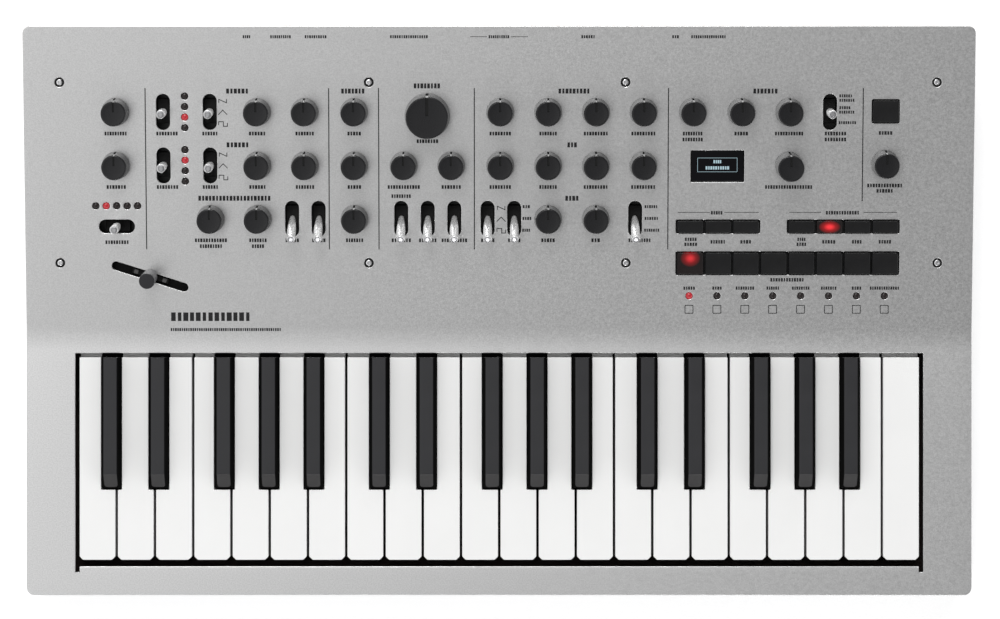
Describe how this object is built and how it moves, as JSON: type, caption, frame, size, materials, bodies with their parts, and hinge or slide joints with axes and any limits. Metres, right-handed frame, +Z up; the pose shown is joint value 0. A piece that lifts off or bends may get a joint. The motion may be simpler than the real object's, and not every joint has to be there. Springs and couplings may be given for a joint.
{
  "type": "keyboard synthesizer",
  "caption": "Desktop analogue-style keyboard synthesizer with slim keys, knobs, metal levers, a slanted pitch slider and button banks on a sloping metal panel.",
  "frame": {"origin": "centre of the footprint, on the table under the rubber feet", "axes": "+X to the player's right, +Y away from the player, +Z up"},
  "size_m": [0.5, 0.3, 0.0851],
  "materials": {
    "panel_metal": "fine blasted satin metal, silver grey",
    "case_plastic": "moulded plastic, silver grey, fine texture",
    "rear_wood": "satin oiled reddish brown hardwood",
    "keybed_plastic": "black moulded plastic",
    "board_laminate": "green circuit board",
    "display_window": "polished dark window",
    "white_key": "glossy white moulded plastic",
    "black_key": "satin black moulded plastic",
    "knob_plastic": "soft black with a pale pointer line",
    "lever_metal": "bright nickel plate",
    "slider_plastic": "satin dark grey",
    "button_rubber": "matt black silicone rubber"
  },
  "bodies": {
    "chassis": {"top_panel": "panel_metal", "bottom_case": "case_plastic", "rear_panel": "rear_wood", "keybed_frame": "keybed_plastic", "control_board": "board_laminate", "main_board": "board_laminate", "display_module": "display_window"},
    "white_key_01": {"white_key_01": "white_key"},
    "white_key_02": {"white_key_02": "white_key"},
    "white_key_03": {"white_key_03": "white_key"},
    "white_key_04": {"white_key_04": "white_key"},
    "white_key_05": {"white_key_05": "white_key"},
    "white_key_06": {"white_key_06": "white_key"},
    "white_key_07": {"white_key_07": "white_key"},
    "white_key_08": {"white_key_08": "white_key"},
    "white_key_09": {"white_key_09": "white_key"},
    "white_key_10": {"white_key_10": "white_key"},
    "white_key_11": {"white_key_11": "white_key"},
    "white_key_12": {"white_key_12": "white_key"},
    "white_key_13": {"white_key_13": "white_key"},
    "white_key_14": {"white_key_14": "white_key"},
    "white_key_15": {"white_key_15": "white_key"},
    "white_key_16": {"white_key_16": "white_key"},
    "white_key_17": {"white_key_17": "white_key"},
    "white_key_18": {"white_key_18": "white_key"},
    "white_key_19": {"white_key_19": "white_key"},
    "white_key_20": {"white_key_20": "white_key"},
    "white_key_21": {"white_key_21": "white_key"},
    "white_key_22": {"white_key_22": "white_key"},
    "black_key_01": {"black_key_01": "black_key"},
    "black_key_02": {"black_key_02": "black_key"},
    "black_key_03": {"black_key_03": "black_key"},
    "black_key_04": {"black_key_04": "black_key"},
    "black_key_05": {"black_key_05": "black_key"},
    "black_key_06": {"black_key_06": "black_key"},
    "black_key_07": {"black_key_07": "black_key"},
    "black_key_08": {"black_key_08": "black_key"},
    "black_key_09": {"black_key_09": "black_key"},
    "black_key_10": {"black_key_10": "black_key"},
    "black_key_11": {"black_key_11": "black_key"},
    "black_key_12": {"black_key_12": "black_key"},
    "black_key_13": {"black_key_13": "black_key"},
    "black_key_14": {"black_key_14": "black_key"},
    "black_key_15": {"black_key_15": "black_key"},
    "master_knob": {"master_knob": "knob_plastic"},
    "tempo_knob": {"tempo_knob": "knob_plastic"},
    "cutoff_knob": {"cutoff_knob": "knob_plastic"},
    "voice_depth_knob": {"voice_depth_knob": "knob_plastic"},
    "program_knob": {"program_knob": "knob_plastic"},
    "osc1_octave_lever": {"osc1_octave_lever": "lever_metal"},
    "osc1_wave_lever": {"osc1_wave_lever": "lever_metal"},
    "output_lever": {"output_lever": "lever_metal"},
    "lfo_target_lever": {"lfo_target_lever": "lever_metal"},
    "octave_lever": {"octave_lever": "lever_metal"},
    "pitch_slider": {"pitch_slider": "slider_plastic"},
    "shift_button": {"shift_button": "button_rubber"},
    "edit_buttons": {"edit_buttons": "button_rubber"},
    "sequencer_buttons": {"sequencer_buttons": "button_rubber"},
    "voice_buttons": {"voice_buttons": "button_rubber"},
    "power_button": {"power_button": "slider_plastic"}
  },
  "joints": [
    {"name": "white_key_01_press", "type": "hinge", "parent": "chassis", "child": "white_key_01", "pos_m": [-0.21263, -0.002, 0.04], "axis": [1, 0, 0], "range_deg": [0, 3.56], "stiffness_Nm_per_rad": 1.2, "springref_deg": -3.44},
    {"name": "white_key_02_press", "type": "hinge", "parent": "chassis", "child": "white_key_02", "pos_m": [-0.19237, -0.002, 0.04], "axis": [1, 0, 0], "range_deg": [0, 3.56], "stiffness_Nm_per_rad": 1.2, "springref_deg": -3.44},
    {"name": "white_key_03_press", "type": "hinge", "parent": "chassis", "child": "white_key_03", "pos_m": [-0.17213, -0.002, 0.04], "axis": [1, 0, 0], "range_deg": [0, 3.56], "stiffness_Nm_per_rad": 1.2, "springref_deg": -3.44},
    {"name": "white_key_04_press", "type": "hinge", "parent": "chassis", "child": "white_key_04", "pos_m": [-0.15188, -0.002, 0.04], "axis": [1, 0, 0], "range_deg": [0, 3.56], "stiffness_Nm_per_rad": 1.2, "springref_deg": -3.44},
    {"name": "white_key_05_press", "type": "hinge", "parent": "chassis", "child": "white_key_05", "pos_m": [-0.13162, -0.002, 0.04], "axis": [1, 0, 0], "range_deg": [0, 3.56], "stiffness_Nm_per_rad": 1.2, "springref_deg": -3.44},
    {"name": "white_key_06_press", "type": "hinge", "parent": "chassis", "child": "white_key_06", "pos_m": [-0.11138, -0.002, 0.04], "axis": [1, 0, 0], "range_deg": [0, 3.56], "stiffness_Nm_per_rad": 1.2, "springref_deg": -3.44},
    {"name": "white_key_07_press", "type": "hinge", "parent": "chassis", "child": "white_key_07", "pos_m": [-0.09112, -0.002, 0.04], "axis": [1, 0, 0], "range_deg": [0, 3.56], "stiffness_Nm_per_rad": 1.2, "springref_deg": -3.44},
    {"name": "white_key_08_press", "type": "hinge", "parent": "chassis", "child": "white_key_08", "pos_m": [-0.07087, -0.002, 0.04], "axis": [1, 0, 0], "range_deg": [0, 3.56], "stiffness_Nm_per_rad": 1.2, "springref_deg": -3.44},
    {"name": "white_key_09_press", "type": "hinge", "parent": "chassis", "child": "white_key_09", "pos_m": [-0.05063, -0.002, 0.04], "axis": [1, 0, 0], "range_deg": [0, 3.56], "stiffness_Nm_per_rad": 1.2, "springref_deg": -3.44},
    {"name": "white_key_10_press", "type": "hinge", "parent": "chassis", "child": "white_key_10", "pos_m": [-0.03037, -0.002, 0.04], "axis": [1, 0, 0], "range_deg": [0, 3.56], "stiffness_Nm_per_rad": 1.2, "springref_deg": -3.44},
    {"name": "white_key_11_press", "type": "hinge", "parent": "chassis", "child": "white_key_11", "pos_m": [-0.01013, -0.002, 0.04], "axis": [1, 0, 0], "range_deg": [0, 3.56], "stiffness_Nm_per_rad": 1.2, "springref_deg": -3.44},
    {"name": "white_key_12_press", "type": "hinge", "parent": "chassis", "child": "white_key_12", "pos_m": [0.01013, -0.002, 0.04], "axis": [1, 0, 0], "range_deg": [0, 3.56], "stiffness_Nm_per_rad": 1.2, "springref_deg": -3.44},
    {"name": "white_key_13_press", "type": "hinge", "parent": "chassis", "child": "white_key_13", "pos_m": [0.03037, -0.002, 0.04], "axis": [1, 0, 0], "range_deg": [0, 3.56], "stiffness_Nm_per_rad": 1.2, "springref_deg": -3.44},
    {"name": "white_key_14_press", "type": "hinge", "parent": "chassis", "child": "white_key_14", "pos_m": [0.05063, -0.002, 0.04], "axis": [1, 0, 0], "range_deg": [0, 3.56], "stiffness_Nm_per_rad": 1.2, "springref_deg": -3.44},
    {"name": "white_key_15_press", "type": "hinge", "parent": "chassis", "child": "white_key_15", "pos_m": [0.07087, -0.002, 0.04], "axis": [1, 0, 0], "range_deg": [0, 3.56], "stiffness_Nm_per_rad": 1.2, "springref_deg": -3.44},
    {"name": "white_key_16_press", "type": "hinge", "parent": "chassis", "child": "white_key_16", "pos_m": [0.09112, -0.002, 0.04], "axis": [1, 0, 0], "range_deg": [0, 3.56], "stiffness_Nm_per_rad": 1.2, "springref_deg": -3.44},
    {"name": "white_key_17_press", "type": "hinge", "parent": "chassis", "child": "white_key_17", "pos_m": [0.11138, -0.002, 0.04], "axis": [1, 0, 0], "range_deg": [0, 3.56], "stiffness_Nm_per_rad": 1.2, "springref_deg": -3.44},
    {"name": "white_key_18_press", "type": "hinge", "parent": "chassis", "child": "white_key_18", "pos_m": [0.13162, -0.002, 0.04], "axis": [1, 0, 0], "range_deg": [0, 3.56], "stiffness_Nm_per_rad": 1.2, "springref_deg": -3.44},
    {"name": "white_key_19_press", "type": "hinge", "parent": "chassis", "child": "white_key_19", "pos_m": [0.15188, -0.002, 0.04], "axis": [1, 0, 0], "range_deg": [0, 3.56], "stiffness_Nm_per_rad": 1.2, "springref_deg": -3.44},
    {"name": "white_key_20_press", "type": "hinge", "parent": "chassis", "child": "white_key_20", "pos_m": [0.17213, -0.002, 0.04], "axis": [1, 0, 0], "range_deg": [0, 3.56], "stiffness_Nm_per_rad": 1.2, "springref_deg": -3.44},
    {"name": "white_key_21_press", "type": "hinge", "parent": "chassis", "child": "white_key_21", "pos_m": [0.19237, -0.002, 0.04], "axis": [1, 0, 0], "range_deg": [0, 3.56], "stiffness_Nm_per_rad": 1.2, "springref_deg": -3.44},
    {"name": "white_key_22_press", "type": "hinge", "parent": "chassis", "child": "white_key_22", "pos_m": [0.21263, -0.002, 0.04], "axis": [1, 0, 0], "range_deg": [0, 3.56], "stiffness_Nm_per_rad": 1.2, "springref_deg": -3.44},
    {"name": "black_key_01_press", "type": "hinge", "parent": "chassis", "child": "black_key_01", "pos_m": [-0.2052, -0.002, 0.04], "axis": [1, 0, 0], "range_deg": [0, 3.56], "stiffness_Nm_per_rad": 1.2, "springref_deg": -3.44},
    {"name": "black_key_02_press", "type": "hinge", "parent": "chassis", "child": "black_key_02", "pos_m": [-0.18015, -0.002, 0.04], "axis": [1, 0, 0], "range_deg": [0, 3.56], "stiffness_Nm_per_rad": 1.2, "springref_deg": -3.44},
    {"name": "black_key_03_press", "type": "hinge", "parent": "chassis", "child": "black_key_03", "pos_m": [-0.14545, -0.002, 0.04], "axis": [1, 0, 0], "range_deg": [0, 3.56], "stiffness_Nm_per_rad": 1.2, "springref_deg": -3.44},
    {"name": "black_key_04_press", "type": "hinge", "parent": "chassis", "child": "black_key_04", "pos_m": [-0.12175, -0.002, 0.04], "axis": [1, 0, 0], "range_deg": [0, 3.56], "stiffness_Nm_per_rad": 1.2, "springref_deg": -3.44},
    {"name": "black_key_05_press", "type": "hinge", "parent": "chassis", "child": "black_key_05", "pos_m": [-0.09805, -0.002, 0.04], "axis": [1, 0, 0], "range_deg": [0, 3.56], "stiffness_Nm_per_rad": 1.2, "springref_deg": -3.44},
    {"name": "black_key_06_press", "type": "hinge", "parent": "chassis", "child": "black_key_06", "pos_m": [-0.06345, -0.002, 0.04], "axis": [1, 0, 0], "range_deg": [0, 3.56], "stiffness_Nm_per_rad": 1.2, "springref_deg": -3.44},
    {"name": "black_key_07_press", "type": "hinge", "parent": "chassis", "child": "black_key_07", "pos_m": [-0.0384, -0.002, 0.04], "axis": [1, 0, 0], "range_deg": [0, 3.56], "stiffness_Nm_per_rad": 1.2, "springref_deg": -3.44},
    {"name": "black_key_08_press", "type": "hinge", "parent": "chassis", "child": "black_key_08", "pos_m": [-0.0037, -0.002, 0.04], "axis": [1, 0, 0], "range_deg": [0, 3.56], "stiffness_Nm_per_rad": 1.2, "springref_deg": -3.44},
    {"name": "black_key_09_press", "type": "hinge", "parent": "chassis", "child": "black_key_09", "pos_m": [0.02, -0.002, 0.04], "axis": [1, 0, 0], "range_deg": [0, 3.56], "stiffness_Nm_per_rad": 1.2, "springref_deg": -3.44},
    {"name": "black_key_10_press", "type": "hinge", "parent": "chassis", "child": "black_key_10", "pos_m": [0.0437, -0.002, 0.04], "axis": [1, 0, 0], "range_deg": [0, 3.56], "stiffness_Nm_per_rad": 1.2, "springref_deg": -3.44},
    {"name": "black_key_11_press", "type": "hinge", "parent": "chassis", "child": "black_key_11", "pos_m": [0.0783, -0.002, 0.04], "axis": [1, 0, 0], "range_deg": [0, 3.56], "stiffness_Nm_per_rad": 1.2, "springref_deg": -3.44},
    {"name": "black_key_12_press", "type": "hinge", "parent": "chassis", "child": "black_key_12", "pos_m": [0.10335, -0.002, 0.04], "axis": [1, 0, 0], "range_deg": [0, 3.56], "stiffness_Nm_per_rad": 1.2, "springref_deg": -3.44},
    {"name": "black_key_13_press", "type": "hinge", "parent": "chassis", "child": "black_key_13", "pos_m": [0.13805, -0.002, 0.04], "axis": [1, 0, 0], "range_deg": [0, 3.56], "stiffness_Nm_per_rad": 1.2, "springref_deg": -3.44},
    {"name": "black_key_14_press", "type": "hinge", "parent": "chassis", "child": "black_key_14", "pos_m": [0.16175, -0.002, 0.04], "axis": [1, 0, 0], "range_deg": [0, 3.56], "stiffness_Nm_per_rad": 1.2, "springref_deg": -3.44},
    {"name": "black_key_15_press", "type": "hinge", "parent": "chassis", "child": "black_key_15", "pos_m": [0.18545, -0.002, 0.04], "axis": [1, 0, 0], "range_deg": [0, 3.56], "stiffness_Nm_per_rad": 1.2, "springref_deg": -3.44},
    {"name": "master_knob_turn", "type": "hinge", "parent": "chassis", "child": "master_knob", "pos_m": [-0.2017, 0.105, 0.06703], "axis": [0, -0.1253, 0.9921], "range_deg": [-150, 150]},
    {"name": "tempo_knob_turn", "type": "hinge", "parent": "chassis", "child": "tempo_knob", "pos_m": [-0.2017, 0.077, 0.0635], "axis": [0, -0.1253, 0.9921], "range_deg": [-150, 150]},
    {"name": "cutoff_knob_turn", "type": "hinge", "parent": "chassis", "child": "cutoff_knob", "pos_m": [-0.0378, 0.103, 0.06678], "axis": [0, -0.1253, 0.9921], "range_deg": [-150, 150]},
    {"name": "voice_depth_knob_turn", "type": "hinge", "parent": "chassis", "child": "voice_depth_knob", "pos_m": [0.203, 0.0778, 0.0636], "axis": [0, -0.1253, 0.9921], "range_deg": [-150, 150]},
    {"name": "program_knob_turn", "type": "hinge", "parent": "chassis", "child": "program_knob", "pos_m": [0.1524, 0.077, 0.0635], "axis": [0, -0.1253, 0.9921], "continuous": true},
    {"name": "osc1_octave_lever_tilt", "type": "hinge", "parent": "chassis", "child": "osc1_octave_lever", "pos_m": [-0.1767, 0.10575, 0.06108], "axis": [1, 0, 0], "range_deg": [-23, 23]},
    {"name": "osc1_wave_lever_tilt", "type": "hinge", "parent": "chassis", "child": "osc1_wave_lever", "pos_m": [-0.1521, 0.10575, 0.06108], "axis": [1, 0, 0], "range_deg": [-23, 23]},
    {"name": "output_lever_tilt", "type": "hinge", "parent": "chassis", "child": "output_lever", "pos_m": [0.1738, 0.10575, 0.06108], "axis": [1, 0, 0], "range_deg": [-23, 23]},
    {"name": "lfo_target_lever_tilt", "type": "hinge", "parent": "chassis", "child": "lfo_target_lever", "pos_m": [0.0716, 0.04975, 0.05401], "axis": [1, 0, 0], "range_deg": [-46, 0]},
    {"name": "octave_lever_tilt", "type": "hinge", "parent": "chassis", "child": "octave_lever", "pos_m": [-0.2016, 0.04575, 0.0535], "axis": [0, 0.9921, 0.1253], "range_deg": [-23, 23]},
    {"name": "pitch_slider_slide", "type": "slide", "parent": "chassis", "child": "pitch_slider", "axis": [0.9521, -0.3033, -0.0383], "range_m": [-0.0165, 0.0165], "stiffness_N_per_m": 20},
    {"name": "shift_button_press", "type": "slide", "parent": "chassis", "child": "shift_button", "axis": [0, 0.1253, -0.9921], "range_m": [0, 0.0012], "stiffness_N_per_m": 900, "springref_m": -0.0005},
    {"name": "edit_buttons_press", "type": "slide", "parent": "chassis", "child": "edit_buttons", "axis": [0, 0.1253, -0.9921], "range_m": [0, 0.0012], "stiffness_N_per_m": 900, "springref_m": -0.0005},
    {"name": "sequencer_buttons_press", "type": "slide", "parent": "chassis", "child": "sequencer_buttons", "axis": [0, 0.1253, -0.9921], "range_m": [0, 0.0012], "stiffness_N_per_m": 900, "springref_m": -0.0005},
    {"name": "voice_buttons_press", "type": "slide", "parent": "chassis", "child": "voice_buttons", "axis": [0, 0.1253, -0.9921], "range_m": [0, 0.0012], "stiffness_N_per_m": 900, "springref_m": -0.0005},
    {"name": "power_button_press", "type": "slide", "parent": "chassis", "child": "power_button", "axis": [0, -1, 0], "range_m": [0, 0.0025], "stiffness_N_per_m": 600, "springref_m": -0.0005}
  ]
}
